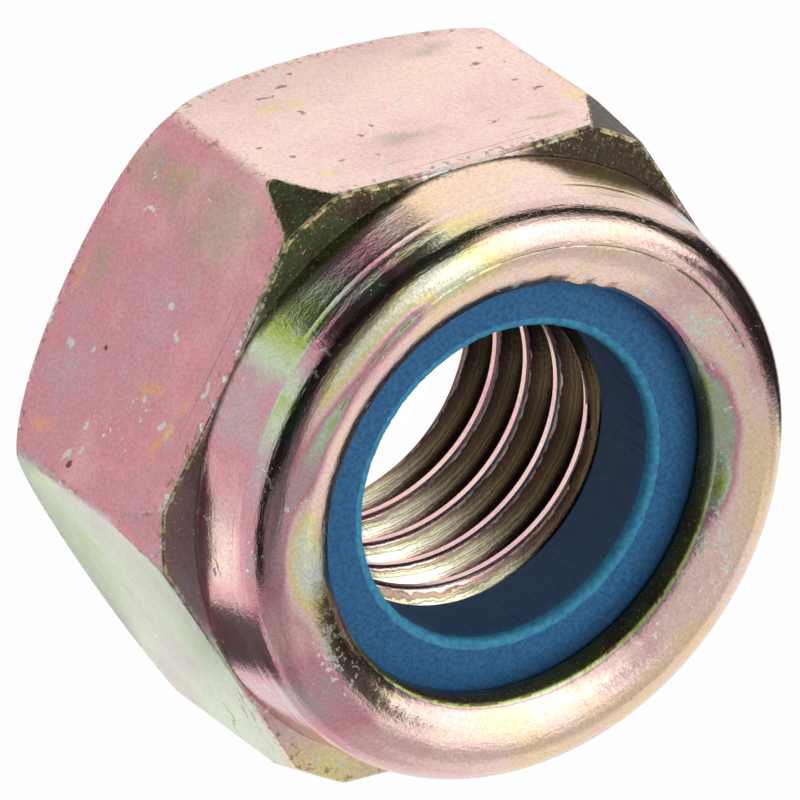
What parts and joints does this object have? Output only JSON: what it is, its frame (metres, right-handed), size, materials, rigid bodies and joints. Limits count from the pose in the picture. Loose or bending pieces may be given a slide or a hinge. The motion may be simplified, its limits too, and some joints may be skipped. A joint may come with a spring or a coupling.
{
  "type": "nylon insert lock nut",
  "caption": "Hexagonal steel lock nut with a turned collar whose rolled lip holds a nylon ring that grips the bolt.",
  "frame": {"origin": "centre of the bearing face, on the nut's axis", "axes": "+Z along the nut's axis from the bearing face to the collar, +X through a corner of the hexagon, +Y square to a pair of flats"},
  "size_m": [0.0194, 0.017, 0.0112],
  "materials": {
    "plated_steel": "yellow-passivated zinc plating with pink, yellow and green tints, worn to silver at the edges",
    "nylon": "matt mid-blue nylon, paler where its inner rim was cut"
  },
  "bodies": {
    "root": {"nut_body": "plated_steel", "nylon_insert": "nylon"}
  },
  "joints": []
}
